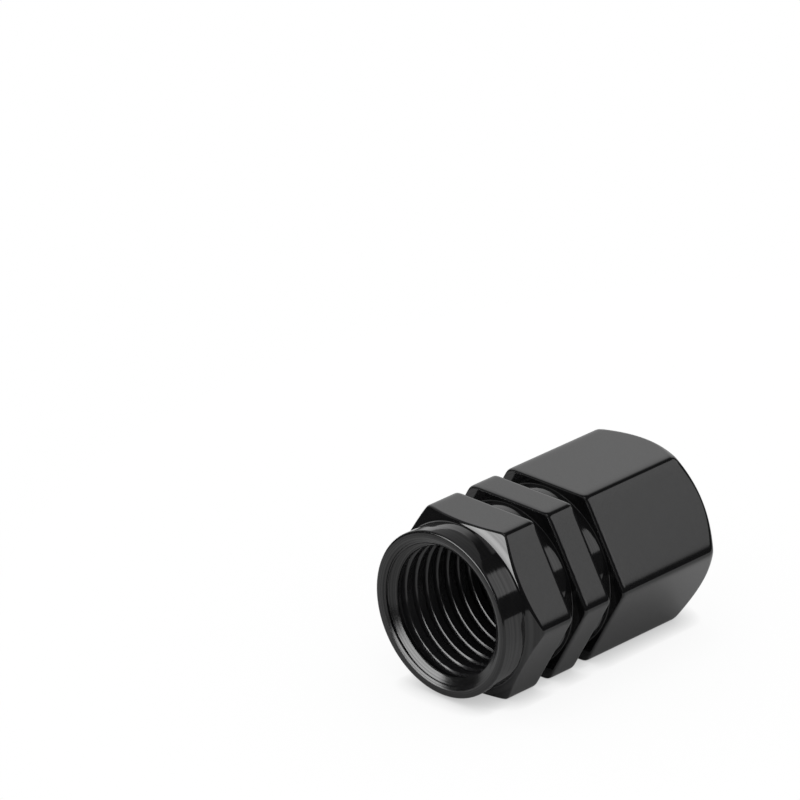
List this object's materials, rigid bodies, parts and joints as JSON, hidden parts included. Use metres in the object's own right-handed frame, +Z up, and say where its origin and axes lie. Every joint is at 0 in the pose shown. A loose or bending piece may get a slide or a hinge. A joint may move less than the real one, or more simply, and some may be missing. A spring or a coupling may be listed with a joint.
{
  "type": "tyre valve cap",
  "caption": "Hexagonal black metal tyre valve cap: round collar at the mouth, turned grooves, chamfered crown, and a blind threaded bore with a rubber sealing washer.",
  "frame": {"origin": "middle of the bottom of the cap's box, on the surface that it lies on", "axes": "+Z up from the flat that the cap lies on; -Y along the bore, out of the mouth; +Y towards the closed crown"},
  "size_m": [0.0108, 0.016, 0.0095],
  "materials": {
    "black_anodised_metal": "gloss black anodised",
    "seal_rubber": "matt black"
  },
  "bodies": {
    "root": {"cap_body": "black_anodised_metal", "sealing_washer": "seal_rubber"}
  },
  "joints": []
}
